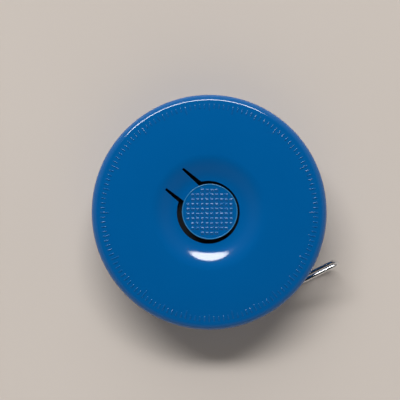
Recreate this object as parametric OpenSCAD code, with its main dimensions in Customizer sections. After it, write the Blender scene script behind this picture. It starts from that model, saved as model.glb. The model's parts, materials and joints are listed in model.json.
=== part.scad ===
// Round retractable tape measure with a push-button brake release.
// Origin: centre of the flat back face, on the case axis. +Z points out of the front face.
// The tape lies on edge: its width runs along Z, and it leaves the case along exit_angle.

/* [Case] */
// Outer diameter of the case
case_d = 50; // [50:0.5:54]
// Overall thickness of the case, back face to the top of the front face
case_h = 14; // [14:0.25:16]
// Wall thickness of the two moulded halves
wall = 1.3; // [1.2:0.05:1.3]
// Height of the parting line above the back face
parting_z = 7; // [6:0.5:7.5]
// Radius that rounds the front and back edges of the case
edge_fillet = 1.7; // [1.2:0.1:1.8]

/* [Front dish] */
// Depth of the dish around the button
dish_depth = 1.45; // [1.2:0.05:1.6]
// Radius at which the dish starts to rise
dish_r_in = 6.4; // [6:0.1:6.6]
// Radius at which the dish reaches the rim's height
dish_r_out = 12.4; // [11.5:0.1:14]

/* [Release button] */
// Diameter of the round pad
pad_d = 11.8; // [10:0.1:12]
// Height of the pad above the floor of the dish
pad_raise = 0.3; // [0.1:0.05:0.5]
// Diameter of the round part of the slot around the pad
slot_d = 13.3; // [13.1:0.1:13.6]
// Compass direction of the tongue, from the pad to its root
tongue_angle = 140; // [0:5:355]
// Distance from the case axis to the tongue's root
tongue_reach = 10.2; // [9.5:0.1:11]
// Pitch of the grip studs on the pad
stud_pitch = 1.01; // [0.9:0.01:1.2]
// Height of the grip studs
stud_h = 0.15; // [0.1:0.05:0.25]
// Downward travel at the pad's centre
press_travel = 0.6; // [0.3:0.1:0.6]

/* [Tape] */
// Width of the tape
tape_w = 7; // [6:0.5:7]
// Thickness of the tape
tape_t = 0.3; // [0.2:0.02:0.34]
// Radial step from one turn of tape to the next
tape_pitch = 0.4; // [0.38:0.01:0.4]
// Turns of tape on the drum
tape_turns = 13; // [8:1:13]
// Direction in which the tape leaves the case
exit_angle = 26.5; // [0:0.5:359.5]

/* [Pull loop] */
// Diameter of the loop's wire
wire_d = 0.86; // [0.6:0.02:0.9]
// Height of the loop between the centre lines of its arms
loop_h = 7.2; // [6.8:0.1:7.3]
// Length of the loop from its pivot to the outside of its tip
loop_len = 10.8; // [7:0.1:12]

/* [Hidden] */
$fn = 96;

blue = [0.02, 0.34, 0.58];
eps = 0.01;
sunk = 0.3;                           // how far a rib runs into the face that carries it

// Case shell
case_r = case_d / 2;
inner_r = case_r - wall;
fillet_r = case_r - edge_fillet;      // radius at which the edge rounding is centred
edge_tilt = 8;                        // slope of the face where the edge rounding starts
join_r = fillet_r + edge_fillet * sin(edge_tilt);
crown = tan(edge_tilt) * (join_r - dish_r_out) / 2;
face_wall = 1.2;
floor_z = wall;
lap_h = 1;
lap_r = case_r - 0.7;
lap_gap = 0.05;
corner = 0.8;                         // bevel inside the case, between wall and floor
foot_r = 2;                           // pocket in the back cover that takes the arbor's foot
foot_depth = 0.8;

// Stack inside the case, from the back
arbor_flange_z = floor_z + 0.4;
lid_z = arbor_flange_z + 0.3;
lid_t = 0.5;
drum_z = lid_z + lid_t;
tape_z = drum_z + 0.1;
web_z = tape_z + 7.1;
web_t = 0.5;
web_top = web_z + web_t;
mid_z = tape_z + tape_w / 2;

// Spool and tape
coil_r = 22.2;                        // centre line of the outermost turn
coil_r0 = coil_r - tape_turns * tape_pitch;
drum_r = coil_r0 - tape_t / 2 - 0.05;
drum_in = drum_r - 0.8;
flange_r = 22.6;
web_hole_r = 3;
collar_r = 7.5;
collar_t = 0.5;
collar_h = 0.7;
lid_hub_r = 4.4;
lid_hub_h = 0.9;
lid_rim_t = 0.8;
lid_rim_h = 0.4;
fit = 0.06;                           // radial running clearance
boss_t = 0.95;                        // wall of the boss that carries the spool's collar
boss_gap = 0.3;
rub_front = [22.2, 21.4];             // radii of the rib that steadies the spool, front and back
rub_back = [21, 20.2];
rub_gap = 0.35;
rub_h = 0.4;
anchor_slot = [2.5, 1.1];             // slot in the drum for the tape's inner end
anchor = [0.7, 0.6];                  // wedge that holds the tape in that slot
anchor_y = -0.65;

// Arbor and brake
arbor_r = 3.6;
arbor_top = 7.8;
arbor_flange_r = 5.6;
bore_r = 1.9;
bore_z = 2.3;
slit = 0.7;
plunger_z = 8.5;
plunger_r = 6.2;
plunger_t = 0.6;
ring_in = 4.4;
key_z = 6.2;
key_w = 0.6;
key_len = 2.5;
stem_len = 3;                         // plunger's stem inside the arbor's bore
nub_r = 1;
nub_foot_r = 2.4;
pad_floor_z = case_h - dish_depth - 0.9;
nub_gap = 0.1;

// Mainspring
spring_t = 0.12;
spring_z = 3;
spring_w = 4.7;
spring_pitch = 0.3;
spring_turns = 12;
spring_r = drum_in - spring_t / 2 - 0.03;
bridge_pitch = 2.4;
bridge_turns = 3;
rivet_turn = 9;                       // degrees back from the spring's outer end
spring_rivet_r = 0.38;
spring_rivet_head = [0.7, 0.1];       // radius and thickness
rivet_hole_r = 0.42;
upper_washer_r = 9.4;
upper_washer_t = 0.25;

// Mouth, ferrule and loop, along the tape's exit line
pivot_s = 9.5;
barrel_r = 0.8;
barrel_bore = 0.5;
barrel_h = 5.2;
slot_half = 0.6;
slot_spare = 0.4;                     // gap above and below the tape in its slot
stop_s = pivot_s - barrel_r - 0.05;
recess_half = 1.1;
recess_z = 1.8;
recess_top = 10.4;
block_r = 23;                         // thick part of the wall at the mouth: inner radius,
block_start = 78;                     // degrees back from the exit line, degrees across,
block_sweep = 30;                     // and height in the front cover
block_h = 3.3;
sheet_t = 0.25;
ferrule_s = 6.3;
rivet_s = 7.4;
rivet_span = 3;
rivet_r = 0.35;
rivet_gap = 0.02;
rivet_head_r = 0.6;
rivet_head_t = 0.1;
tip_bend = 1.5;
bar_bend = 0.9;

function face_z(r) =
    let (t = min(max((r - dish_r_in) / (dish_r_out - dish_r_in), 0), 1),
         c = max((r - dish_r_out) / (join_r - dish_r_out), 0))
    case_h - dish_depth * (1 - t * t * (3 - 2 * t)) - crown * c * c;

// Radii at which the front face is sampled, inside the radius given
function face_radii(last) = concat(
    [0],
    [for (i = [0:12]) dish_r_in + i * (dish_r_out - dish_r_in) / 12],
    [for (i = [1:6]) dish_r_out + i * (last - dish_r_out) / 6]
);

function reversed(list) = [for (i = [len(list) - 1:-1:0]) list[i]];

front_edge_z = face_z(join_r) - edge_fillet * cos(edge_tilt);
face_outline = [for (r = face_radii(join_r)) [r, face_z(r)]];
edge_outline = [
    for (a = [90 - edge_tilt - 14:-12:0])
        [fillet_r + edge_fillet * cos(a), front_edge_z + edge_fillet * sin(a)]
];
under_outline = [for (r = face_radii(inner_r - corner)) [r, face_z(r) - face_wall]];

// A ring with a rectangular section
module ring(r_out, r_in, z0, h) {
    translate([0, 0, z0]) difference() {
        cylinder(r = r_out, h = h);
        translate([0, 0, -1]) cylinder(r = r_in, h = h + 2);
    }
}

// Turns of flat strip, each made of two half circles about centres half a pitch apart.
// The strip ends on the X axis at radius r_end and gets smaller inwards.
module spiral(r_end, turns, pitch, t, z0, w) {
    for (k = [1:turns]) {
        inner = r_end - k * pitch;
        rotate_extrude(angle = 180) translate([inner - t / 2, z0]) square([t, w]);
        translate([pitch / 2, 0, 0]) rotate([0, 0, 180]) rotate_extrude(angle = 180)
            translate([inner + pitch / 2 - t / 2, z0]) square([t, w]);
    }
}

// Places children in the frame of the exit line: X runs out along the tape, Y towards the
// case axis, with its zero on the tape's centre line.
module on_exit_line() {
    rotate([0, 0, exit_angle]) translate([0, -coil_r, 0]) children();
}

// Places children in the frame of the tongue: X runs from the case axis to the root.
module on_tongue() {
    rotate([0, 0, tongue_angle]) children();
}

// Everything that the mouth removes from the wall
module mouth() {
    on_exit_line() {
        translate([2, -slot_half, tape_z - slot_spare])
            cube([12, 2 * slot_half, tape_w + 2 * slot_spare]);
        translate([stop_s, -6, recess_z]) cube([8, 6 + recess_half, recess_top - recess_z]);
    }
}

// Thicker wall around the mouth
module mouth_block(z0, h) {
    rotate([0, 0, exit_angle - block_start]) rotate_extrude(angle = block_sweep)
        translate([block_r, z0]) square([inner_r - block_r + 0.3, h]);
}

pad_at = [0.02, -0.2];
slot_at = [0.15, 0.13];
arm_y = -0.68;
arm_half = [2.12, 2.55];              // half width of the tongue at the pad and at its root
gap_half = [3.32, 3.04];              // half width of its opening at the same two places
arm_x = [3, tongue_reach];
hinge_gap = 0.1;

module tongue_plan(half, reach) {
    polygon([
        [arm_x[0], arm_y - half[0]], [reach, arm_y - half[1]],
        [reach, arm_y + half[1]], [arm_x[0], arm_y + half[0]]
    ]);
}

module button_opening() {
    on_tongue() translate([0, 0, parting_z]) {
        translate(slot_at) cylinder(d = slot_d, h = case_h);
        linear_extrude(case_h) tongue_plan(gap_half, tongue_reach + hinge_gap / 2);
    }
}

module front_shell() {
    rotate_extrude() polygon(concat(
        face_outline, edge_outline,
        [[case_r, front_edge_z], [case_r, parting_z + lap_gap], [lap_r + lap_gap, parting_z + lap_gap],
         [lap_r + lap_gap, parting_z + lap_h + lap_gap], [inner_r, parting_z + lap_h + lap_gap],
         [inner_r, face_z(inner_r - corner) - face_wall - corner]],
        reversed(under_outline)
    ));
}

module front_cover() {
    boss_z = web_top + boss_gap;
    rub_z = web_top + rub_gap;
    boss_r = collar_r + fit;
    color(blue) difference() {
        union() {
            front_shell();
            ring(boss_r + boss_t, boss_r, boss_z, face_z(boss_r) - face_wall + sunk - boss_z);
            ring(rub_front[0], rub_front[1], rub_z, face_z(rub_front[0]) - face_wall + sunk - rub_z);
            mouth_block(parting_z + lap_h + lap_gap, block_h);
        }
        button_opening();
        mouth();
    }
}

module release_button() {
    pad_top = case_h - dish_depth + pad_raise;
    color(blue) on_tongue() {
        translate([pad_at[0], pad_at[1], pad_floor_z]) cylinder(d = pad_d, h = pad_top - pad_floor_z);
        intersection() {
            front_shell();
            translate([0, 0, parting_z]) linear_extrude(case_h)
                tongue_plan(arm_half, tongue_reach - hinge_gap / 2);
        }
        translate([pad_at[0], pad_at[1], pad_top - eps]) rotate([0, 0, -tongue_angle]) pad_studs();
    }
}

module pad_studs() {
    side = 0.6 * stud_pitch;
    field_r = pad_d / 2 - 0.75;
    for (i = [-4.5:4.5], j = [-4.5:4.5])
        if (norm([i, j]) * stud_pitch < field_r)
            translate([i * stud_pitch - side / 2, j * stud_pitch - side / 2, 0]) cube([side, side, stud_h]);
}

module back_cover() {
    color(blue) difference() {
        union() {
            rotate_extrude() polygon(concat(
                [[0, 0], [fillet_r, 0]],
                [for (a = [-75:15:0])
                    [fillet_r + edge_fillet * cos(a), edge_fillet + edge_fillet * sin(a)]],
                [[case_r, parting_z], [lap_r, parting_z], [lap_r, parting_z + lap_h],
                 [inner_r, parting_z + lap_h], [inner_r, floor_z + corner],
                 [inner_r - corner, floor_z], [0, floor_z]]
            ));
            ring(rub_back[0], rub_back[1], floor_z - eps, rub_h);
            mouth_block(floor_z - eps, parting_z - floor_z + eps);
        }
        translate([0, 0, floor_z - foot_depth]) cylinder(r = foot_r, h = wall + 1);
        mouth();
    }
}

module arbor() {
    color("ivory") rotate([0, 0, exit_angle - 90]) difference() {
        union() {
            translate([0, 0, floor_z - foot_depth + 0.05]) cylinder(r = foot_r - 0.02, h = 1);
            translate([0, 0, floor_z]) cylinder(r = arbor_flange_r, h = arbor_flange_z - floor_z);
            translate([0, 0, floor_z]) cylinder(r = arbor_r, h = arbor_top - floor_z);
        }
        translate([0, 0, bore_z]) cylinder(r = bore_r, h = arbor_top);
        translate([0, -slit / 2, spring_z - 0.1]) cube([5, slit, arbor_top]);
        translate([-5, -slit / 2, key_z - press_travel - 0.2]) cube([5, slit, arbor_top]);
    }
}

module lower_washer() {
    color("black") ring(arbor_flange_r, arbor_r + 0.1, arbor_flange_z, lid_z - arbor_flange_z - 0.05);
}

module upper_washer() {
    color("black") ring(upper_washer_r, collar_r + 0.2, web_top + 0.05, upper_washer_t);
}

module spool() {
    color("dimgray") difference() {
        union() {
            ring(drum_r, drum_in, drum_z, web_z - drum_z + eps);
            ring(flange_r, web_hole_r, web_z, web_t);
            ring(collar_r, collar_r - collar_t, web_top - eps, collar_h + eps);
        }
        rotate([0, 0, exit_angle - 90]) {
            translate([drum_in - 1, anchor_y - 0.05, drum_z - 1])
                cube([anchor_slot[0], anchor_slot[1], web_z - drum_z + 1]);
            spring_rivet_hole();
        }
    }
}

module spring_rivet_hole() {
    rotate([0, 0, -rivet_turn]) translate([drum_in - 2, 0, spring_z + spring_w / 2]) rotate([0, 90, 0])
        cylinder(r = rivet_hole_r, h = 4);
}

module spool_lid() {
    color("dimgray") difference() {
        union() {
            translate([0, 0, lid_z]) cylinder(r = flange_r, h = lid_t);
            translate([0, 0, lid_z]) cylinder(r = lid_hub_r, h = lid_hub_h);
            ring(drum_in - 0.05, drum_in - lid_rim_t, drum_z - eps, lid_rim_h);
        }
        translate([0, 0, lid_z - 1]) cylinder(r = arbor_r + fit, h = 4);
    }
}

module mainspring() {
    bridge_r = spring_r - spring_turns * spring_pitch;
    tail_r = bridge_r - bridge_turns * bridge_pitch;
    tail_end = bore_r + 0.2;
    color("slategray") rotate([0, 0, exit_angle - 90]) difference() {
        union() {
            spiral(spring_r, spring_turns, spring_pitch, spring_t, spring_z, spring_w);
            spiral(bridge_r, bridge_turns, bridge_pitch, spring_t, spring_z, spring_w);
            translate([tail_end, 0, spring_z]) cube([tail_r + spring_t / 2 - tail_end, spring_t, spring_w]);
        }
        spring_rivet_hole();
    }
}

module mainspring_rivet() {
    head_r = spring_r - spring_t / 2 - 0.02;
    color("silver") rotate([0, 0, exit_angle - 90 - rivet_turn])
        translate([0, 0, spring_z + spring_w / 2]) rotate([0, 90, 0]) {
            translate([0, 0, head_r]) cylinder(r = spring_rivet_r, h = drum_r - head_r - 0.05);
            translate([0, 0, head_r - spring_rivet_head[1]])
                cylinder(r = spring_rivet_head[0], h = spring_rivet_head[1]);
        }
}

module tape_coil() {
    color("khaki") rotate([0, 0, exit_angle - 90]) {
        spiral(coil_r, tape_turns, tape_pitch, tape_t, tape_z, tape_w);
        translate([drum_in + 0.1, 0, tape_z]) cube([coil_r0 - drum_in + tape_t / 2 - 0.1, tape_t, tape_w]);
    }
}

module tape_anchor() {
    color("dimgray") rotate([0, 0, exit_angle - 90])
        translate([drum_in + 0.05, anchor_y, drum_z + 0.1])
            cube([anchor[0], anchor[1], web_z - drum_z - 0.2]);
}

module brake_plunger() {
    nub_top = pad_floor_z - nub_gap;
    color("ivory") rotate([0, 0, exit_angle - 90]) {
        translate([0, 0, plunger_z - stem_len]) cylinder(r = bore_r - 0.05, h = stem_len + eps);
        translate([-arbor_r + 0.3, -key_w / 2, key_z]) cube([key_len, key_w, plunger_z - key_z + eps]);
        translate([0, 0, plunger_z]) cylinder(r = plunger_r, h = plunger_t);
        translate([0, 0, plunger_z]) cylinder(r = nub_foot_r, h = nub_top - 0.5 - plunger_z);
        translate([0, 0, plunger_z]) cylinder(r = nub_r, h = nub_top - plunger_z);
    }
}

module brake_ring() {
    color("black") ring(plunger_r, ring_in, plunger_z + plunger_t, web_z - 0.05 - plunger_z - plunger_t);
}

// Compression spring in the arbor's bore: a round wire swept along a helix
module brake_spring() {
    turns = 5;
    steps = 16;
    sides = 8;
    coil = 1.4;
    wire = 0.16;
    low = bore_z + wire + 0.02;
    high = plunger_z - stem_len - wire - 0.02;
    rings = turns * steps;
    points = [
        for (i = [0:rings], k = [0:sides - 1])
            let (a = 360 * i / steps, b = 360 * k / sides, r = coil + wire * cos(b))
            [r * cos(a), r * sin(a), low + (high - low) * i / rings + wire * sin(b)]
    ];
    skin = [
        for (i = [0:rings - 1], k = [0:sides - 1])
            [i * sides + k, i * sides + (k + 1) % sides,
             (i + 1) * sides + (k + 1) % sides, (i + 1) * sides + k]
    ];
    ends = [[for (k = [sides - 1:-1:0]) k], [for (k = [0:sides - 1]) rings * sides + k]];
    color("silver") polyhedron(points, concat([for (f = skin) reversed(f)], [for (f = ends) reversed(f)]));
}

module tape_lead() {
    color("khaki") on_exit_line() difference() {
        translate([0.1, -tape_t / 2, tape_z]) cube([stop_s - 0.2, tape_t, tape_w]);
        rivet_shanks(rivet_r + rivet_gap, 2);
    }
}

module rivet_shanks(r, length) {
    for (side = [-1, 1])
        translate([rivet_s, length / 2, mid_z + side * rivet_span / 2]) rotate([90, 0, 0])
            cylinder(r = r, h = length);
}

module end_ferrule() {
    plate_h = tape_w - 0.4;
    color("silver") on_exit_line() difference() {
        union() {
            translate([pivot_s, 0, mid_z - barrel_h / 2]) cylinder(r = barrel_r, h = barrel_h);
            for (side = [-1, 1])
                translate([ferrule_s, side * (tape_t + sheet_t) / 2 - sheet_t / 2, mid_z - plate_h / 2])
                    cube([pivot_s - ferrule_s - barrel_bore - 0.05, sheet_t, plate_h]);
        }
        translate([ferrule_s - 1, -tape_t / 2, mid_z - 5]) cube([stop_s + 1 - ferrule_s, tape_t, 10]);
        translate([pivot_s, 0, 0]) cylinder(r = barrel_bore, h = case_h);
        rivet_shanks(rivet_r + rivet_gap, 3);
    }
}

module ferrule_rivets() {
    outside = tape_t / 2 + sheet_t;
    color("silver") on_exit_line() {
        rivet_shanks(rivet_r, 2 * outside);
        for (side = [-1, 1])
            translate([0, side * (outside + rivet_head_t / 2), 0]) rivet_shanks(rivet_head_r, rivet_head_t);
    }
}

// Wire bail: a bar in the ferrule's barrel, two arms and a tip bar, with rounded corners
module pull_loop() {
    r = wire_d / 2;
    tip = loop_len - r;
    half = loop_h / 2;
    color("silver") on_exit_line() translate([pivot_s, 0, mid_z]) {
        translate([0, 0, bar_bend - half]) cylinder(r = r, h = 2 * (half - bar_bend));
        translate([tip, 0, tip_bend - half]) cylinder(r = r, h = 2 * (half - tip_bend));
        for (side = [-1, 1]) {
            translate([bar_bend, 0, side * half]) rotate([0, 90, 0])
                cylinder(r = r, h = tip - tip_bend - bar_bend);
            translate([bar_bend, 0, side * (half - bar_bend)])
                wire_corner(bar_bend, r, side > 0 ? 90 : 180);
            translate([tip - tip_bend, 0, side * (half - tip_bend)])
                wire_corner(tip_bend, r, side > 0 ? 0 : 270);
        }
    }
}

// Quarter bend of round wire in the XZ plane
module wire_corner(bend, r, start) {
    rotate([90, 0, 0]) rotate([0, 0, start]) rotate_extrude(angle = 90) translate([bend, 0]) circle(r = r);
}

front_cover();
release_button();
back_cover();
arbor();
lower_washer();
upper_washer();
spool();
spool_lid();
mainspring();
mainspring_rivet();
tape_coil();
tape_anchor();
brake_plunger();
brake_ring();
brake_spring();
tape_lead();
end_ferrule();
ferrule_rivets();
pull_loop();
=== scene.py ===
"""Looks of a round retractable tape measure: glossy blue case, push-button tongue, wire pull loop."""

import json
import math

import bpy
import numpy as np
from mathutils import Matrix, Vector

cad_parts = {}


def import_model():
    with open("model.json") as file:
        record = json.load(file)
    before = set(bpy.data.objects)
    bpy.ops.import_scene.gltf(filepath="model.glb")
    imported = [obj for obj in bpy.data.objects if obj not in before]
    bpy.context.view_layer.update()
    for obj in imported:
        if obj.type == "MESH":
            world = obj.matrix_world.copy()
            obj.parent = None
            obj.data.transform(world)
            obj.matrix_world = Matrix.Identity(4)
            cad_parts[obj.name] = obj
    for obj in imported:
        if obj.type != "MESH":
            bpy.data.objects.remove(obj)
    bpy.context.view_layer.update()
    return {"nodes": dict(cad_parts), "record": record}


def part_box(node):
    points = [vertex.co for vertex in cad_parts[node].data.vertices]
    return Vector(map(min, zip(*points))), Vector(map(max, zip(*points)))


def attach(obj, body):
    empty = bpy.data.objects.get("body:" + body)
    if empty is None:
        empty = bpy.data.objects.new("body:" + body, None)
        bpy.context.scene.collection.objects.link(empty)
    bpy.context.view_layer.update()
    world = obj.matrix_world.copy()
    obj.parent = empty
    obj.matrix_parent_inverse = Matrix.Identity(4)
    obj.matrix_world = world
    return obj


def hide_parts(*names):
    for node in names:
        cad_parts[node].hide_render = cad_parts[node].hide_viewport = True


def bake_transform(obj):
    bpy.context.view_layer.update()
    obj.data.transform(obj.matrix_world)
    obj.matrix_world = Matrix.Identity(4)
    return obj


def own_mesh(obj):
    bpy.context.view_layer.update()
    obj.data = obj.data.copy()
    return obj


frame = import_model()

MM = 0.001
SLOTS = {entry["node"]: entry["material_slot"] for entry in frame["record"]["subparts"]}

# ---------------------------------------------------------------- case sizes, in millimetres
CASE_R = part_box("back_cover")[1][0] / MM
CASE_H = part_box("front_cover")[1][2] / MM
CASE_SEGMENTS = 384
WALL = 1.3                  # side wall and back
FACE_WALL = 1.2             # front face
INNER_BEVEL = 0.8           # inside corners between the wall and the two faces
INNER_R = CASE_R - WALL
FACE_HOLE_R = 5.0           # hole that the shell is turned with, inside the button's opening
PARTING_GAP = 0.05          # between the two halves
PARTING_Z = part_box("front_cover")[0][2] / MM - PARTING_GAP
PARTING_BREAK = [(0.15, 0.0), (0.03, 0.12), (0.0, 0.25)]    # (inwards, away from the parting line)
LAP_R = CASE_R - 0.7
LAP_H = 1.0
LAP_GAP = 0.05
EDGE_FILLET = 1.7
EDGE_TILT = math.radians(8)                                 # slope of the face where the rounding starts
FILLET_R = CASE_R - EDGE_FILLET
JOIN_R = FILLET_R + EDGE_FILLET * math.sin(EDGE_TILT)
DISH_IN = 6.4
DISH_OUT = 12.4
DISH_DEPTH = 1.45
CROWN = math.tan(EDGE_TILT) * (JOIN_R - DISH_OUT) / 2       # fall of the face from the dish to the edge
BACK_FOOT = [(19.0, 0.0), (18.0, 0.0)]                      # (r, z) of the flat ring it rests on
BACK_FIELD = [(17.85, 0.04), (17.65, 0.16), (17.5, 0.2), (12.0, 0.2), (3.0, 0.2), (1.9, 0.2)]
GATE_MARK = [(1.8, 0.24), (1.7, 0.38), (1.5, 0.42), (0.6, 0.42), (0.45, 0.34), (0, 0.32)]

# ---------------------------------------------------------------- button sizes
# The tongue's own X axis runs from the case axis to its root. Points and half widths are in that frame.
TONGUE_ANGLE = math.radians(140)
TONGUE_START = 4.6          # inside the pad, which the tongue is joined to
TONGUE_REACH = 10.2
TONGUE_Y = -0.68
ARM_START = 3.0             # where the first of each pair of half widths holds
ARM_HALF = (2.12, 2.55)
GAP_HALF = (3.32, 3.04)
ROOT_CORNER = 0.12
PAD_AT = (0.02, -0.2)
PAD_R = 5.9
PAD_ROUND = 0.14
PAD_BEVEL = (0.35, 0.25)    # hidden lower edge: inwards, up
PAD_FIELD_Z = CASE_H - DISH_DEPTH + 0.3
PAD_LOW_Z = CASE_H - DISH_DEPTH - 0.9
SLOT_AT = (0.15, 0.13)
SLOT_R = 6.65
SLOT_ROUND = 0.08
LIP_H = 0.1
LIP_W = 0.28
LIP_HIGHLIGHT = 0.6              # share of the painted highlight colour on the lip's crest
STUD_PITCH = 1.01
STUD_SHIFT = 0.05           # the grid's middle lies this far towards -X
STUD_HALF = 0.38
STUD_H = 0.15
STUD_FIELD_R = 5.165

# ---------------------------------------------------------------- moulded scale
TICK_COUNT = 140
TICK_OUTER_R = 23.0
TICK_HALF = 0.15
TICK_H = 0.12
TICK_LENGTHS = (1.1, 1.5, 1.9)                              # plain, every fifth, every tenth

# ---------------------------------------------------------------- tape and loop sizes
# s is the distance along the tape's exit line, from the foot of the case axis's perpendicular on it.
EXIT_ANGLE = math.radians(26.5)
TAPE_LINE = 22.2            # distance of the exit line from the case axis
TAPE_W = 7.0
TAPE_T = 0.3
TAPE_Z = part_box("tape_lead")[0][2] / MM
MID_Z = TAPE_Z + TAPE_W / 2
STRIP_S = (0.05, 8.45)
STOP_S = 8.65               # where the ferrule stops at the bottom of the pocket
PIVOT_S = 9.5
SLIT_S = (4.0, 14.0)
SLIT_HALF = 0.6
SLIT_GAP = 0.4
POCKET_END_S = 16.0
POCKET_OFFSET = (-6.0, 1.1)
POCKET_Z = (1.8, 10.4)
MOUTH_R = 23.0
MOUTH_TOP_Z = 11.5
MOUTH_ANGLES = (math.radians(78), math.radians(30))         # start before the exit angle, length
OVERLAP = 0.01              # so that joined solids share volume
WIRE_R = 0.43
LOOP_LEN = 10.8
LOOP_HALF = 3.6
TIP_CORNER = 1.5
BAR_CORNER = 0.9
COIL_WIRE_R = 0.16


def face_shares(r):
    """How far r is across the dish's slope, held to 0-1, and how far across the crown outside it."""
    across_dish = np.clip((r - DISH_IN) / (DISH_OUT - DISH_IN), 0, 1)
    across_crown = np.maximum((r - DISH_OUT) / (JOIN_R - DISH_OUT), 0)
    return across_dish, across_crown


def face_z(r):
    """Height of the front face at radius r, in mm: dish, then a gently crowned rim."""
    t, c = face_shares(r)
    return CASE_H - DISH_DEPTH * (1 - t * t * (3 - 2 * t)) - CROWN * c * c


def face_slope(r):
    """How fast the front face rises with r."""
    t, c = face_shares(r)
    return 6 * DISH_DEPTH * t * (1 - t) / (DISH_OUT - DISH_IN) - 2 * CROWN * c / (JOIN_R - DISH_OUT)


# ---------------------------------------------------------------- mesh helpers
def make_object(name, points, faces, smooth_angle=35):
    """A mesh object from points in millimetres."""
    mesh = bpy.data.meshes.new(name)
    mesh.from_pydata([tuple(float(x) * MM for x in p) for p in points], [], faces)
    mesh.validate()
    mesh.update()
    obj = bpy.data.objects.new(name, mesh)
    bpy.context.collection.objects.link(obj)
    shade(obj, smooth_angle)
    return obj


def shade(obj, angle=35):
    """Smooth shading with sharp edges above an angle in degrees."""
    obj.data.polygons.foreach_set("use_smooth", [True] * len(obj.data.polygons))
    obj.data.set_sharp_from_angle(angle=math.radians(angle))


def grid_faces(rows, columns, closed_rows=False, closed_columns=False):
    """Quads of a grid of points stored row by row."""
    faces = []
    for i in range(rows if closed_rows else rows - 1):
        here, after = i * columns, (i + 1) % rows * columns
        for j in range(columns if closed_columns else columns - 1):
            beside = (j + 1) % columns
            faces.append((here + j, here + beside, after + beside, after + j))
    return faces


def tube_faces(rows, columns):
    """Sides and end caps of a tube whose closed rings of points are stored one after another."""
    last = (rows - 1) * columns
    caps = [tuple(range(columns))[::-1], tuple(range(last, last + columns))]
    return grid_faces(rows, columns, False, True) + caps


def grid_border(rows, columns):
    """Indices round the edge of a grid of points stored row by row."""
    last = (rows - 1) * columns
    border = [i * columns for i in range(rows)] + [last + j for j in range(1, columns)]
    border += [i * columns + columns - 1 for i in range(rows - 2, -1, -1)]
    return border + list(range(columns - 2, 0, -1))


def ring_points(profile, segments, centre=(0, 0)):
    """An (r, z) profile repeated round the vertical axis through centre."""
    angles = np.linspace(0, 2 * math.pi, segments, endpoint=False)
    return [
        (centre[0] + r * math.cos(a), centre[1] + r * math.sin(a), z) for a in angles for r, z in profile
    ]


def revolve(name, profile, segments):
    """Closed ring of revolution from a closed (r, z) profile, anticlockwise seen with r to the right."""
    faces = grid_faces(segments, len(profile), True, True)
    return make_object(name, ring_points(profile, segments), faces)


def capped_revolve(name, profile, segments, centre=(0, 0)):
    """Solid of revolution from an open profile that starts and ends on the axis."""
    low, high = profile[0], profile[-1]
    middle = profile[1:-1]
    points = ring_points(middle, segments, centre)
    faces = grid_faces(segments, len(middle), True, False)
    first = len(points)
    points += [(centre[0], centre[1], low[1]), (centre[0], centre[1], high[1])]
    n = len(middle)
    for i in range(segments):
        after = (i + 1) % segments
        faces.append((first, after * n, i * n))
        faces.append((first + 1, i * n + n - 1, after * n + n - 1))
    return make_object(name, points, faces)


def arc(centre, radius, start, end, steps):
    """Points on an arc in the (r, z) plane, from start to end in degrees."""
    return [
        (
            centre[0] + radius * math.cos(math.radians(start + (end - start) * i / steps)),
            centre[1] + radius * math.sin(math.radians(start + (end - start) * i / steps)),
        )
        for i in range(steps + 1)
    ]


def boolean(obj, other, operation):
    """Applies an exact boolean and removes the other object."""
    modifier = obj.modifiers.new("cut", "BOOLEAN")
    modifier.operation = operation
    modifier.solver = "EXACT"
    modifier.object = other
    depsgraph = bpy.context.evaluated_depsgraph_get()
    mesh = bpy.data.meshes.new_from_object(obj.evaluated_get(depsgraph))
    obj.modifiers.clear()
    old = obj.data
    obj.data = mesh
    mesh.name = old.name
    bpy.data.meshes.remove(old)
    bpy.data.objects.remove(other)


def turned(x, y, angle):
    """A plan point turned about the case axis."""
    return x * math.cos(angle) - y * math.sin(angle), x * math.sin(angle) + y * math.cos(angle)


def on_exit_line(s, offset, z):
    """Point s mm along the tape's exit line, offset towards the case axis, at height z."""
    x, y = turned(s, offset - TAPE_LINE, EXIT_ANGLE)
    return x, y, z


def face_normals(obj):
    """Exact normals where a vertex lies on the front face, so the gloss reads as one smooth surface."""
    near_z, near_r = 2e-3, 0.01
    steepest = 0.5          # Z of the normal of a polygon that still counts as face
    mesh = obj.data
    normals = [Vector(n.vector) for n in mesh.corner_normals]
    points = np.array([v.co for v in mesh.vertices]) / MM
    radii = np.hypot(points[:, 0], points[:, 1])
    on_face = (np.abs(points[:, 2] - face_z(radii)) < near_z) & (radii < JOIN_R + near_r)
    slopes = face_slope(radii)
    for polygon in mesh.polygons:
        if polygon.normal.z < steepest or not all(on_face[i] for i in polygon.vertices):
            continue
        for corner in polygon.loop_indices:
            i = mesh.loops[corner].vertex_index
            r = max(radii[i], 1e-6)
            normal = Vector((-slopes[i] * points[i, 0] / r, -slopes[i] * points[i, 1] / r, 1))
            normals[corner] = normal.normalized()
    mesh.normals_split_custom_set([tuple(n) for n in normals])


# ---------------------------------------------------------------- materials
def new_material(name):
    """A material with its node tree, Principled shader and a maker of nodes."""
    material = bpy.data.materials.new(name)
    material.use_nodes = True
    tree = material.node_tree
    shader = tree.nodes["Principled BSDF"]

    def node(kind, **values):
        made = tree.nodes.new(kind)
        for key, value in values.items():
            if key in made.inputs:
                made.inputs[key].default_value = value
            else:
                setattr(made, key, value)
        return made

    return material, tree, shader, node


def math_maker(tree):
    """A maker of Math nodes that takes numbers or output sockets and gives the node's output socket."""
    def maths(operation, *values):
        made = tree.nodes.new("ShaderNodeMath")
        made.operation = operation
        for socket, value in zip(made.inputs, values):
            if isinstance(value, (int, float)):
                socket.default_value = value
            else:
                tree.links.new(value, socket)
        return made.outputs[0]

    return maths


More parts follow.
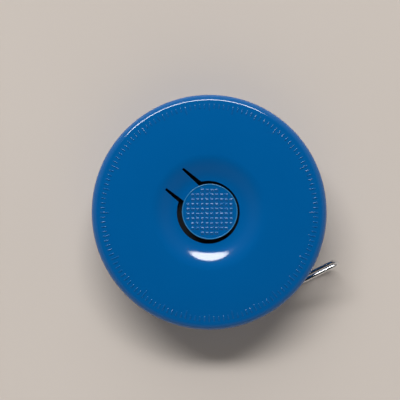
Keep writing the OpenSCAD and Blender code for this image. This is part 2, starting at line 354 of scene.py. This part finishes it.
def noise_bump(tree, shader, node, scale, strength, distance, detail=3.0):
    """Fine surface relief from noise in object space. Gives the noise node, for the colour to follow."""
    where = node("ShaderNodeTexCoord")
    noise = node("ShaderNodeTexNoise", Scale=scale, Detail=detail)
    bump = node("ShaderNodeBump", Strength=strength, Distance=distance)
    tree.links.new(where.outputs["Object"], noise.inputs["Vector"])
    tree.links.new(noise.outputs["Fac"], bump.inputs["Height"])
    tree.links.new(bump.outputs["Normal"], shader.inputs["Normal"])
    return noise


def ramp(node, stops):
    """A colour ramp with the given (place, colour) stops."""
    made = node("ShaderNodeValToRGB")
    elements = made.color_ramp.elements
    while len(elements) < len(stops):
        elements.new(0.5)
    for element, (place, colour) in zip(elements, stops):
        element.position = place
        element.color = colour
    return made


def tone(colour, share=1.0):
    """An opaque colour, darkened to a share of itself."""
    return (*[c * share for c in colour], 1)


def grey(value):
    """An opaque grey, for a ramp that drives a number."""
    return (value, value, value, 1)


def gloss_plastic(name, colour, dark, highlight, roughness):
    """Moulded glossy plastic: slight colour drift, a painted highlight where the mesh stores one, flow
    ripple, hairline scuffs.
    """
    material, tree, shader, node = new_material(name)
    where = node("ShaderNodeTexCoord")
    drift = node("ShaderNodeTexNoise", Scale=90.0, Detail=2.0)
    mix = node("ShaderNodeMix", data_type="RGBA")
    mix.inputs["A"].default_value = tone(dark)
    mix.inputs["B"].default_value = tone(colour)
    tree.links.new(where.outputs["Object"], drift.inputs["Vector"])
    tree.links.new(drift.outputs["Fac"], mix.inputs["Factor"])
    # Painted highlight: a lighter blue mixed in by a share that the mesh stores, set on the crest of the
    # pad's lip.
    highlight_mask = node("ShaderNodeAttribute", attribute_name="painted_highlight_share")
    painted_highlight = node("ShaderNodeMix", data_type="RGBA")
    painted_highlight.inputs["B"].default_value = tone(highlight)
    tree.links.new(highlight_mask.outputs["Fac"], painted_highlight.inputs["Factor"])
    tree.links.new(mix.outputs["Result"], painted_highlight.inputs["A"])
    tree.links.new(painted_highlight.outputs["Result"], shader.inputs["Base Color"])

    # Long thin scuffs: noise stretched along one direction, rougher only where it peaks.
    stretch = node("ShaderNodeMapping")
    stretch.inputs["Rotation"].default_value = (0, 0, 0.6)
    stretch.inputs["Scale"].default_value = (60, 1400, 60)
    scuffs = node("ShaderNodeTexNoise", Scale=1.0, Detail=4.0)
    scuffed = roughness + 0.16
    gloss = ramp(node, [(0.0, grey(roughness)), (0.62, grey(roughness)), (0.8, grey(scuffed))])
    tree.links.new(where.outputs["Object"], stretch.inputs["Vector"])
    tree.links.new(stretch.outputs["Vector"], scuffs.inputs["Vector"])
    tree.links.new(scuffs.outputs["Fac"], gloss.inputs["Fac"])
    tree.links.new(gloss.outputs["Color"], shader.inputs["Roughness"])

    noise_bump(tree, shader, node, scale=420.0, strength=0.04, distance=0.00005, detail=2.0)
    shader.inputs["IOR"].default_value = 1.55
    return material


def paint_highlight(obj, painted_highlight):
    """Store a painted highlight for the plastic's colour; the given function of (x, y, z) is the share of
    highlight colour at a point.
    """
    layer = obj.data.attributes.new("painted_highlight_share", "FLOAT", "POINT")
    for vertex, entry in zip(obj.data.vertices, layer.data):
        x, y, z = vertex.co / MM
        entry.value = painted_highlight(x, y, z)


def metal(name, colour, roughness, scale, strength):
    """Plated metal with a faint grain in its tone, gloss and relief."""
    material, tree, shader, node = new_material(name)
    shader.inputs["Metallic"].default_value = 1.0
    noise = noise_bump(tree, shader, node, scale, strength, distance=0.00002)
    tint = ramp(node, [(0.3, tone(colour, 0.86)), (0.7, tone(colour))])
    rough = ramp(node, [(0.3, grey(roughness)), (0.75, grey(roughness * 1.7))])
    tree.links.new(noise.outputs["Fac"], tint.inputs["Fac"])
    tree.links.new(noise.outputs["Fac"], rough.inputs["Fac"])
    tree.links.new(tint.outputs["Color"], shader.inputs["Base Color"])
    tree.links.new(rough.outputs["Color"], shader.inputs["Roughness"])
    return material


def matte(name, colour, roughness, scale, strength):
    """Matte moulded or fibrous stuff with a mottled tone."""
    material, tree, shader, node = new_material(name)
    noise = noise_bump(tree, shader, node, scale, strength, distance=0.00004)
    tint = ramp(node, [(0.3, tone(colour, 0.85)), (0.7, tone(colour))])
    tree.links.new(noise.outputs["Fac"], tint.inputs["Fac"])
    tree.links.new(tint.outputs["Color"], shader.inputs["Base Color"])
    shader.inputs["Roughness"].default_value = roughness
    return material


def tape_material():
    """Coated glass-fibre tape: fine weave, and ticks across its width every 1, 5 and 10 mm."""
    material, tree, shader, node = new_material("tape_vinyl")
    maths = math_maker(tree)
    where = node("ShaderNodeTexCoord")
    turn = node("ShaderNodeMapping")
    turn.vector_type = "TEXTURE"
    turn.inputs["Rotation"].default_value = (0, 0, EXIT_ANGLE)
    split = node("ShaderNodeSeparateXYZ")
    tree.links.new(where.outputs["Object"], turn.inputs["Vector"])
    tree.links.new(turn.outputs["Vector"], split.inputs["Vector"])
    above_zero = 10.0       # metres: longer than the tape and a whole number of ticks, so none is negative

    def ticks(pitch, width, reach):
        along = maths("ADD", split.outputs["X"], above_zero)
        place = maths("FRACT", maths("DIVIDE", along, pitch * MM))
        on_tick = maths("LESS_THAN", place, width / pitch)
        near_edge = maths("LESS_THAN", split.outputs["Z"], (TAPE_Z + reach) * MM)
        return maths("MULTIPLY", on_tick, near_edge)

    longer = maths("MAXIMUM", ticks(pitch=5.0, width=0.2, reach=2.8),
                   ticks(pitch=10.0, width=0.26, reach=7.0))
    mark = maths("MAXIMUM", ticks(pitch=1.0, width=0.16, reach=1.8), longer)
    weave = noise_bump(tree, shader, node, scale=5200.0, strength=0.15, distance=0.00003, detail=2.0)
    cloth = ramp(node, [(0.3, (0.78, 0.68, 0.30, 1)), (0.7, (0.86, 0.78, 0.40, 1))])
    tree.links.new(weave.outputs["Fac"], cloth.inputs["Fac"])
    mix = node("ShaderNodeMix", data_type="RGBA")
    mix.inputs["B"].default_value = grey(0.02)
    tree.links.new(mark, mix.inputs["Factor"])
    tree.links.new(cloth.outputs["Color"], mix.inputs["A"])
    tree.links.new(mix.outputs["Result"], shader.inputs["Base Color"])
    shader.inputs["Roughness"].default_value = 0.42
    return material


BLUE = (0.0004, 0.099, 0.322)
BLUE_DARK = (0.0002, 0.092, 0.305)
# Lighter blue painted on the crest of the pad's lip as a highlight.
BLUE_HIGHLIGHT = (0.045, 0.27, 0.50)
MATERIALS = {
    "case_plastic": gloss_plastic("case_plastic", BLUE, BLUE_DARK, BLUE_HIGHLIGHT, 0.07),
    "natural_plastic": matte("natural_plastic", (0.72, 0.69, 0.6), 0.45, 900.0, 0.2),
    # Near black with a blue cast: partly the washer's own dark colour, partly painted shade so that the gap
    # round the button reads black.
    "washer_fibre": matte("washer_fibre", (0.003, 0.0035, 0.006), 0.6, 1600.0, 0.2),
    "spool_plastic": matte("spool_plastic", (0.005, 0.0055, 0.008), 0.55, 1200.0, 0.25),
    "spring_steel": metal("spring_steel", (0.22, 0.24, 0.3), 0.25, 2500.0, 0.1),
    "plated_steel": metal("plated_steel", (0.72, 0.71, 0.7), 0.16, 3000.0, 0.12),
    "tape_vinyl": tape_material(),
    "brake_rubber": matte("brake_rubber", (0.012, 0.012, 0.012), 0.8, 1400.0, 0.4),
    "loop_chrome": metal("loop_chrome", (0.86, 0.86, 0.87), 0.045, 2200.0, 0.05),
}


def coat(obj, slot, *replaced):
    """Gives a piece its material and slot, and the CAD nodes that it stands for."""
    obj.data.materials.clear()
    obj.data.materials.append(MATERIALS[slot])
    if replaced:
        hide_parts(*replaced)


def dress(obj, body, slot, *replaced):
    """Coats a piece that rides on a single body."""
    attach(obj, body)
    coat(obj, slot, *replaced)


# ---------------------------------------------------------------- case halves
def front_profile():
    """Section of the front half: face, rounded edge, wall, lap joint, underside."""
    low = PARTING_Z + PARTING_GAP
    edge_z = float(face_z(JOIN_R)) - EDGE_FILLET * math.cos(EDGE_TILT)
    dish = np.linspace(DISH_IN, DISH_OUT, 49)
    crown = np.linspace(DISH_OUT, JOIN_R, 25)[1:]
    outer = [(float(r), float(face_z(r))) for r in np.concatenate([[FACE_HOLE_R], dish, crown])]
    outer += arc((FILLET_R, edge_z), EDGE_FILLET, 90 - math.degrees(EDGE_TILT), 0, 20)[1:]
    outer += [(CASE_R - inwards, low + away) for inwards, away in PARTING_BREAK[::-1]]
    lap = [(LAP_R + LAP_GAP, low), (LAP_R + LAP_GAP, low + LAP_H), (INNER_R, low + LAP_H)]
    corner_r = INNER_R - INNER_BEVEL
    under_crown = np.linspace(corner_r, DISH_OUT, 10)
    under_dish = np.linspace(DISH_OUT, DISH_IN, 16)[1:]
    under = [(INNER_R, float(face_z(corner_r)) - FACE_WALL - INNER_BEVEL)]
    for r in np.concatenate([under_crown, under_dish, [FACE_HOLE_R]]):
        under.append((float(r), float(face_z(r)) - FACE_WALL))
    return (outer + lap + under)[::-1]


def back_profile():
    """Section of the back half, from the middle of its back to the middle of its inner floor."""
    lap_top = PARTING_Z + LAP_H
    inner = [(0, WALL), (INNER_R - INNER_BEVEL, WALL), (INNER_R, WALL + INNER_BEVEL),
             (INNER_R, lap_top), (LAP_R, lap_top), (LAP_R, PARTING_Z)]
    outer = [(CASE_R - inwards, PARTING_Z - away) for inwards, away in PARTING_BREAK]
    outer += arc((FILLET_R, EDGE_FILLET), EDGE_FILLET, 0, -90, 20)
    return (inner + outer + BACK_FOOT + BACK_FIELD + GATE_MARK)[::-1]


def arm_edge(half, x):
    """Half width of the tongue, or of its opening, at x along the tongue."""
    share = (x - ARM_START) / (TONGUE_REACH - ARM_START)
    return half[0] + (half[1] - half[0]) * share


def slot_outline():
    """Plan of the opening in the front half: the round part, one side of the tongue, its root, the other."""
    def meets(side):
        """Where this side of the tongue's opening runs into the round part."""
        x, step = 4.0, 0.005
        while True:
            y = TONGUE_Y + side * arm_edge(GAP_HALF, x)
            if math.hypot(x - SLOT_AT[0], y - SLOT_AT[1]) >= SLOT_R:
                return x, y
            x += step

    upper, lower = meets(-1), meets(1)
    start = math.atan2(lower[1] - SLOT_AT[1], lower[0] - SLOT_AT[0])
    end = math.atan2(upper[1] - SLOT_AT[1], upper[0] - SLOT_AT[0]) + 2 * math.pi
    round_steps, side_steps = 150, 14
    outline = []
    for i in range(round_steps + 1):
        a = start + (end - start) * i / round_steps
        outline.append((SLOT_AT[0] + SLOT_R * math.cos(a), SLOT_AT[1] + SLOT_R * math.sin(a)))
    tip = TONGUE_REACH - ROOT_CORNER
    root_half = arm_edge(GAP_HALF, TONGUE_REACH)
    for i in range(1, side_steps + 1):
        x = upper[0] + (tip - upper[0]) * i / side_steps
        outline.append((x, TONGUE_Y - arm_edge(GAP_HALF, x)))
    outline.append((TONGUE_REACH, TONGUE_Y - root_half + ROOT_CORNER))
    outline.append((TONGUE_REACH, TONGUE_Y + root_half - ROOT_CORNER))
    for i in range(side_steps, 0, -1):
        x = lower[0] + (tip - lower[0]) * i / side_steps
        outline.append((x, TONGUE_Y + arm_edge(GAP_HALF, x)))
    return [turned(x, y, TONGUE_ANGLE) for x, y in outline]


def grown(outline, by):
    """The outline moved outwards by a distance, with mitred corners."""
    points = np.array(outline)
    before = np.roll(points, 1, axis=0)
    after = np.roll(points, -1, axis=0)

    def outward(a, b):
        d = b - a
        d = d / np.maximum(np.linalg.norm(d, axis=1), 1e-9)[:, None]
        return np.stack([d[:, 1], -d[:, 0]], axis=1)

    n = outward(before, points) + outward(points, after)
    n = n / np.linalg.norm(n, axis=1)[:, None]
    stretch = 1 / np.maximum((n * outward(before, points)).sum(1), 0.5)
    return points + by * n * stretch[:, None]


def rounding(degrees):
    """How far outwards and how far below the face the slot's and tongue's edge rounding is at an angle."""
    angle = math.radians(degrees)
    return SLOT_ROUND * (1 - math.cos(angle)), SLOT_ROUND * (1 - math.sin(angle))


def slot_cutter():
    """Solid that cuts the opening and rounds its upper edge."""
    outline = slot_outline()
    count = len(outline)
    inside_z, above_z = 9.0, CASE_H + 2
    levels = [np.column_stack([outline, np.full(count, inside_z)])]
    for degrees in (0, 25, 50, 72):
        spread, depth = rounding(degrees)
        plan = grown(outline, spread)
        z = face_z(np.hypot(plan[:, 0], plan[:, 1])) - depth
        levels.append(np.column_stack([plan, z]))
    top = levels[-1].copy()
    top[:, 2] = above_z
    levels.append(top)
    return make_object("slot_cutter", np.vstack(levels), tube_faces(len(levels), count))


def box_on_exit_line(name, s, offset, z):
    """Box given by its ranges along the exit line, across it and up."""
    points = [on_exit_line(a, b, c) for c in z for b in offset for a in s]
    faces = [(0, 2, 3, 1), (4, 5, 7, 6), (0, 1, 5, 4), (2, 6, 7, 3), (0, 4, 6, 2), (1, 3, 7, 5)]
    return make_object(name, points, faces)


def cut_mouth(obj):
    """The tape's slit and the wider pocket for the ferrule and loop."""
    slit_z = (TAPE_Z - SLIT_GAP, TAPE_Z + TAPE_W + SLIT_GAP)
    boolean(obj, box_on_exit_line("slit", SLIT_S, (-SLIT_HALF, SLIT_HALF), slit_z), "DIFFERENCE")
    pocket_s = (STOP_S, POCKET_END_S)
    boolean(obj, box_on_exit_line("pocket", pocket_s, POCKET_OFFSET, POCKET_Z), "DIFFERENCE")


def mouth_block(low, high):
    """Thicker wall around the mouth."""
    outer = INNER_R + 0.3       # into the case wall, which it is joined to
    before, length = MOUTH_ANGLES
    start = EXIT_ANGLE - before
    steps = 24
    points = []
    for i in range(steps + 1):
        a = start + length * i / steps
        for r, z in ((MOUTH_R, low), (outer, low), (outer, high), (MOUTH_R, high)):
            points.append((r * math.cos(a), r * math.sin(a), z))
    return make_object("mouth_block", points, tube_faces(steps + 1, 4))


front = revolve("front_shell", front_profile(), CASE_SEGMENTS)
boolean(front, mouth_block(PARTING_Z + LAP_H + LAP_GAP, MOUTH_TOP_Z), "UNION")
boolean(front, slot_cutter(), "DIFFERENCE")
cut_mouth(front)
shade(front)
face_normals(front)
dress(front, "case", "case_plastic", "front_cover")

back = capped_revolve("back_shell", back_profile(), CASE_SEGMENTS)
boolean(back, mouth_block(WALL - OVERLAP, PARTING_Z), "UNION")
cut_mouth(back)
shade(back)
dress(back, "case", "case_plastic", "back_cover")


# ---------------------------------------------------------------- push button
PAD_CENTRE = turned(PAD_AT[0], PAD_AT[1], TONGUE_ANGLE)


def pad():
    """Round pad: flat field inside a low rounded lip."""
    lip_z = PAD_FIELD_Z + LIP_H
    lip_r = PAD_R - PAD_ROUND
    field_r = PAD_R - 1.2
    inwards, up = PAD_BEVEL
    profile = [(0, PAD_LOW_Z), (PAD_R - inwards, PAD_LOW_Z), (PAD_R, PAD_LOW_Z + up)]
    profile += arc((lip_r, lip_z - PAD_ROUND), PAD_ROUND, 0, 90, 12)
    fall_steps = 10
    for k in range(1, fall_steps + 1):
        t = k / fall_steps
        profile.append((lip_r - (LIP_W - PAD_ROUND) * t, lip_z - LIP_H * t * t * (3 - 2 * t)))
    profile += [(field_r, PAD_FIELD_Z), (0, PAD_FIELD_Z)]
    return capped_revolve("pad", profile, 160, PAD_CENTRE)


def lip_highlight(x, y, z):
    """Painted highlight: full on the crest of the pad's lip, none on its field and arm."""
    margin = 0.01
    r = math.hypot(x - PAD_CENTRE[0], y - PAD_CENTRE[1])
    crest = min(1.0, max(0.0, (z - PAD_FIELD_Z) / LIP_H))
    return LIP_HIGHLIGHT * crest if PAD_R - LIP_W < r < PAD_R + margin else 0.0


def tongue():
    """Arm from the pad to the root, in the face's own curve, with rounded long edges."""
    rows, flat_steps = 44, 14
    # Each column: place across from -1 to 1, how far the rounding pulls it in, depth (-1 for the underside).
    section = [(-1, 0.0, -1.0)] + [(-1, *rounding(degrees)) for degrees in (0, 30, 60, 90)]
    flat = [(-1 + 2 * k / flat_steps, 0.0, 0.0) for k in range(1, flat_steps)]
    columns = section + flat + [(1, spread, depth) for _, spread, depth in section[::-1]]
    points = []
    for i in range(rows):
        x = TONGUE_START + (TONGUE_REACH - TONGUE_START) * i / (rows - 1)
        half = arm_edge(ARM_HALF, x)
        for across, spread, depth in columns:
            reach = half - spread if abs(across) == 1 else half - SLOT_ROUND
            px, py = turned(x, TONGUE_Y + across * reach, TONGUE_ANGLE)
            z = float(face_z(math.hypot(px, py)))
            points.append((px, py, z - FACE_WALL if depth < 0 else z - depth))
    return make_object("tongue", points, [face[::-1] for face in tube_faces(rows, len(columns))])


def studs():
    """Grid of grip studs, each domed along Y and straight-sided along X, clipped by the pad's field."""
    steps = 14
    sunk, apex_depth = 0.02, 0.2        # how far the dome and the hidden point under it reach into the pad
    n = steps + 1
    dome = [face[::-1] for face in grid_faces(n, n)]
    rim = grid_border(n, n)
    points, faces = [], []
    for i in range(-5, 5):
        for j in range(-5, 5):
            cx, cy = (i + 0.5) * STUD_PITCH - STUD_SHIFT, (j + 0.5) * STUD_PITCH
            if math.hypot(cx, cy) > STUD_FIELD_R:
                continue
            first = len(points)
            for a in range(n):
                for b in range(n):
                    u, v = 2 * a / steps - 1, 2 * b / steps - 1
                    rise = (1 - u**8) * (1 - v * v)
                    points.append((PAD_CENTRE[0] + cx + STUD_HALF * u, PAD_CENTRE[1] + cy + STUD_HALF * v,
                                   PAD_FIELD_Z - sunk + (STUD_H + sunk) * rise))
            points.append((PAD_CENTRE[0] + cx, PAD_CENTRE[1] + cy, PAD_FIELD_Z - apex_depth))
            faces += [tuple(first + k for k in face) for face in dome]
            for here, after in zip(rim, rim[1:] + rim[:1]):
                faces.append((first + here, first + after, first + n * n))
    return make_object("grip_studs", points, faces, 60)


button = pad()
boolean(button, tongue(), "UNION")
shade(button, 40)
face_normals(button)
# Painted highlight along the crest of the pad's lip.
paint_highlight(button, lip_highlight)
button.name = "release_tongue"
coat(button, "case_plastic", "release_button")
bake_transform(button)
dress(studs(), "button", "case_plastic")


# ---------------------------------------------------------------- rim ticks
def rim_ticks():
    """Plain moulded scale near the rim: rounded radial ribs, every fifth and tenth longer."""
    across = [math.radians(a) for a in (0, 30, 60, 90, 120, 150, 180)]
    steps = 8
    sunk = 0.04
    rows, n = steps + 1, len(across)
    outside = grid_faces(rows, n) + [tuple(grid_border(rows, n))]
    plain, fifth, tenth = TICK_LENGTHS
    points, faces = [], []
    for k in range(TICK_COUNT):
        a = 2 * math.pi * k / TICK_COUNT
        length = tenth if k % 10 == 0 else fifth if k % 5 == 0 else plain
        first = len(points)
        for i in range(rows):
            end = 2 * i / steps - 1
            r = TICK_OUTER_R - length * (end + 1) / 2
            rise = TICK_H * math.sqrt(max(0.0, 1 - end**6))
            for bend in across:
                x, y = turned(r, TICK_HALF * math.cos(bend), a)
                points.append((x, y, float(face_z(r)) - sunk + (rise + sunk) * math.sin(bend)))
        faces += [tuple(first + i for i in face) for face in outside]
    return make_object("rim_ticks", points, faces, 50)


dress(rim_ticks(), "case", "case_plastic")


# ---------------------------------------------------------------- pull loop and ferrule
def sweep(name, path, radius):
    """Round wire along a closed path of (s, z) points on the exit line."""
    sides = 20
    path = np.array(path)
    ahead = np.roll(path, -1, axis=0) - np.roll(path, 1, axis=0)
    ahead = ahead / np.linalg.norm(ahead, axis=1)[:, None]
    points = []
    for (s, z), (ds, dz) in zip(path, ahead):
        for k in range(sides):
            a = 2 * math.pi * k / sides
            out, across = radius * math.cos(a), radius * math.sin(a)
            points.append(on_exit_line(s + dz * out, across, z - ds * out))
    return make_object(name, points, grid_faces(len(path), sides, True, True), 60)


def loop_path():
    """Rounded rectangle from the bar in the ferrule to the tip."""
    low, high = MID_Z - LOOP_HALF, MID_Z + LOOP_HALF
    tip_s = PIVOT_S + LOOP_LEN - WIRE_R - TIP_CORNER
    bar_s = PIVOT_S + BAR_CORNER
    path = arc((tip_s, low + TIP_CORNER), TIP_CORNER, -90, 0, 14)
    path += arc((tip_s, high - TIP_CORNER), TIP_CORNER, 0, 90, 14)
    path += arc((bar_s, high - BAR_CORNER), BAR_CORNER, 90, 180, 12)
    path += arc((bar_s, low + BAR_CORNER), BAR_CORNER, 180, 270, 12)
    return path


def ferrule():
    """Folded sheet: two plates either side of the tape and a rolled barrel round the loop's bar."""
    gap = TAPE_T / 2 + 0.13         # from the tape's middle to the middle of a plate
    half_t, bevel = 0.12, 0.05
    barrel_r, barrel_half = 0.65, 2.6
    # Middle of the sheet as (s, offset, half width): one plate, the barrel, the other plate.
    plate = [(6.3, gap, 3.15), (6.42, gap, 3.3), (7.4, gap, 3.3), (8.3, gap, 3.3), (8.6, gap + 0.02, 3.1)]
    barrel = [
        (PIVOT_S + barrel_r * math.cos(a), barrel_r * math.sin(a), barrel_half)
        for a in np.radians(np.linspace(142, -142, 31))
    ]
    path = plate + barrel + [(s, -offset, half) for s, offset, half in plate[::-1]]
    centre = np.array([(s, offset) for s, offset, _ in path])
    ahead = np.gradient(centre, axis=0)
    ahead = ahead / np.linalg.norm(ahead, axis=1)[:, None]
    side = np.stack([-ahead[:, 1], ahead[:, 0]], axis=1)
    points = []
    for (s, offset), (ns, no), (_, _, half) in zip(centre, side, path):
        section = [(-half_t, -half + bevel), (-half_t + bevel, -half),
                   (half_t - bevel, -half), (half_t, -half + bevel),
                   (half_t, half - bevel), (half_t - bevel, half),
                   (-half_t + bevel, half), (-half_t, half - bevel)]
        for across, up in section:
            points.append(on_exit_line(s + ns * across, offset + no * across, MID_Z + up))
    return make_object("ferrule_fold", points, [face[::-1] for face in tube_faces(len(path), 8)], 50)


dress(sweep("wire_loop", loop_path(), WIRE_R), "loop", "loop_chrome", "pull_loop")
dress(ferrule(), "tape_end", "plated_steel", "end_ferrule")


# ---------------------------------------------------------------- tape
def tape_strip():
    """Free end of the tape, from the wound coil to the ferrule, with rows enough to pay out smoothly."""
    rows = 160
    start, end = STRIP_S
    bevel = 0.06
    half = TAPE_T / 2
    section = [(-half, bevel), (-half + bevel, 0), (half - bevel, 0), (half, bevel),
               (half, TAPE_W - bevel), (half - bevel, TAPE_W), (-half + bevel, TAPE_W),
               (-half, TAPE_W - bevel)]
    points = []
    for i in range(rows):
        s = start + (end - start) * i / (rows - 1)
        points += [on_exit_line(s, offset, TAPE_Z + z) for offset, z in section]
    return make_object("tape_strip", points, tube_faces(rows, len(section)), 50)


strip = tape_strip()
coat(strip, "tape_vinyl", "tape_lead")
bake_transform(strip)


# ---------------------------------------------------------------- brake spring
def brake_coil(low, high, coil_r):
    """Helical spring of round wire, with a closed turn at each end."""
    turns, steps, sides = 6.5, 32, 12
    rings = int(turns * steps)
    points = []
    for i in range(rings + 1):
        turn = i / steps
        share = min(1.0, max(0.0, (turn - 1) / (turns - 2)))
        level = low + COIL_WIRE_R + (high - low - 2 * COIL_WIRE_R) * share
        angle = 2 * math.pi * turn
        for k in range(sides):
            around = 2 * math.pi * k / sides
            r = coil_r + COIL_WIRE_R * math.cos(around)
            points.append((r * math.cos(angle), r * math.sin(angle), level + COIL_WIRE_R * math.sin(around)))
    return make_object("brake_coil", points, tube_faces(rings + 1, sides), 60)


spring_low, spring_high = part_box("brake_spring")
coil_spring = brake_coil(spring_low[2] / MM, spring_high[2] / MM, spring_high[0] / MM - COIL_WIRE_R)
dress(coil_spring, "case", SLOTS["brake_spring"], "brake_spring")
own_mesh(coil_spring)


# ---------------------------------------------------------------- CAD nodes that stay
REPLACED = {"front_cover", "back_cover", "release_button", "pull_loop", "end_ferrule", "tape_lead",
            "brake_spring"}
for name, obj in frame["nodes"].items():
    if name not in REPLACED:
        obj.data.materials.clear()
        obj.data.materials.append(MATERIALS[SLOTS[name]])


# ---------------------------------------------------------------- stage, in metres
WINDOW_POWER = 137
GLOW_POWER = 84
FILL_POWER = 36
ROOM_LIGHT = 0.42
SKYLINE_LIGHT = 0.35
EYE_AT = (-1.95 * MM, 2.62 * MM)
EYE_LEVEL = 12 * MM
EYE_HEIGHT = 215 * MM       # from that level to the camera
HALF_VIEW = 42.44 * MM      # half the width that the camera sees at that level


def floor():
    """Pale table with a faint tone and grain."""
    material, tree, shader, node = new_material("table_top")
    where = node("ShaderNodeTexCoord")
    cloud = node("ShaderNodeTexNoise", Scale=9.0, Detail=3.0)
    tint = ramp(node, [(0.3, (0.552, 0.508, 0.47, 1)), (0.7, (0.568, 0.524, 0.486, 1))])
    tree.links.new(where.outputs["Object"], cloud.inputs["Vector"])
    tree.links.new(cloud.outputs["Fac"], tint.inputs["Fac"])
    tree.links.new(tint.outputs["Color"], shader.inputs["Base Color"])
    shader.inputs["Roughness"].default_value = 0.6
    shader.inputs["Specular IOR Level"].default_value = 0.1
    half = 3.0
    corners = [(-half, -half, 0), (half, -half, 0), (half, half, 0), (-half, half, 0)]
    mesh = bpy.data.meshes.new("table_top")
    mesh.from_pydata(corners, [], [(0, 1, 2, 3)])
    obj = bpy.data.objects.new("table_top", mesh)
    bpy.context.collection.objects.link(obj)
    obj.data.materials.append(material)


def area_light(name, place, size_x, size_y, energy, colour):
    """Soft panel that faces the object and isn't seen itself."""
    light = bpy.data.lights.new(name, "AREA")
    light.shape = "RECTANGLE"
    light.size = size_x
    light.size_y = size_y
    light.energy = energy
    light.color = colour
    obj = bpy.data.objects.new(name, light)
    obj.location = place
    obj.rotation_euler = Vector(place).to_track_quat("Z", "Y").to_euler()
    obj.visible_camera = False
    bpy.context.collection.objects.link(obj)
    return obj


def window():
    """Long window panel beyond the top of the view, its upper edge parallel to X."""
    height = 3.0
    zenith, thickness = math.radians(38.6), math.radians(9.5)
    left_end, right_end = math.radians(44), math.radians(61)    # bearings of its ends from the X axis
    away = height * math.tan(zenith)
    low_x, high_x = -away / math.tan(left_end), away / math.tan(right_end)
    place = ((low_x + high_x) / 2, away, height)
    light = area_light("window_panel", place, high_x - low_x, thickness * height / math.cos(zenith),
                       WINDOW_POWER, (1.0, 0.985, 0.97))
    light.rotation_euler = Vector((0, away, height)).to_track_quat("Z", "Y").to_euler()


def soft_panel(name, zenith, heading, size, power, colour):
    """Large square diffuser, placed by its angles in degrees, that glossy surfaces don't mirror."""
    reach = 4.0
    tilt, turn = math.radians(zenith), math.radians(heading)
    place = (reach * math.sin(tilt) * math.cos(turn), reach * math.sin(tilt) * math.sin(turn),
             reach * math.cos(tilt))
    area_light(name, place, size, size, power, colour).visible_glossy = False


def world():
    """Dim room: dark overhead, lighter on the walls and at the horizon."""
    made = bpy.data.worlds.new("room")
    made.use_nodes = True
    tree = made.node_tree
    background = tree.nodes["Background"]
    maths = math_maker(tree)
    where = tree.nodes.new("ShaderNodeTexCoord")
    split = tree.nodes.new("ShaderNodeSeparateXYZ")
    tree.links.new(where.outputs["Generated"], split.inputs["Vector"])
    height = maths("MAXIMUM", split.outputs["Z"], 0.0)
    overhead = maths("SUBTRACT", 1.0, height)
    rising = maths("MULTIPLY", height, 5.0 * ROOM_LIGHT)
    walls = maths("MULTIPLY", maths("MULTIPLY", overhead, overhead), rising)
    skyline = maths("MULTIPLY", maths("POWER", overhead, 12.0), SKYLINE_LIGHT)
    tree.links.new(maths("ADD", walls, skyline), background.inputs["Strength"])
    background.inputs["Color"].default_value = (1.0, 0.955, 0.91, 1)
    bpy.context.scene.world = made


def camera():
    """Straight above, a little off the case axis."""
    data = bpy.data.cameras.new("camera")
    data.lens = 50
    data.sensor_width = 2 * data.lens * HALF_VIEW / EYE_HEIGHT
    data.dof.use_dof = False
    obj = bpy.data.objects.new("camera", data)
    obj.location = (*EYE_AT, EYE_LEVEL + EYE_HEIGHT)
    bpy.context.collection.objects.link(obj)
    bpy.context.scene.camera = obj


floor()
world()
camera()
window()
soft_panel("glow_panel", zenith=62, heading=100, size=4.3, power=GLOW_POWER, colour=(1.0, 0.965, 0.93))
soft_panel("fill_panel", zenith=48, heading=275, size=4.5, power=FILL_POWER, colour=(1.0, 0.95, 0.90))
bpy.context.scene.view_settings.view_transform = "Standard"
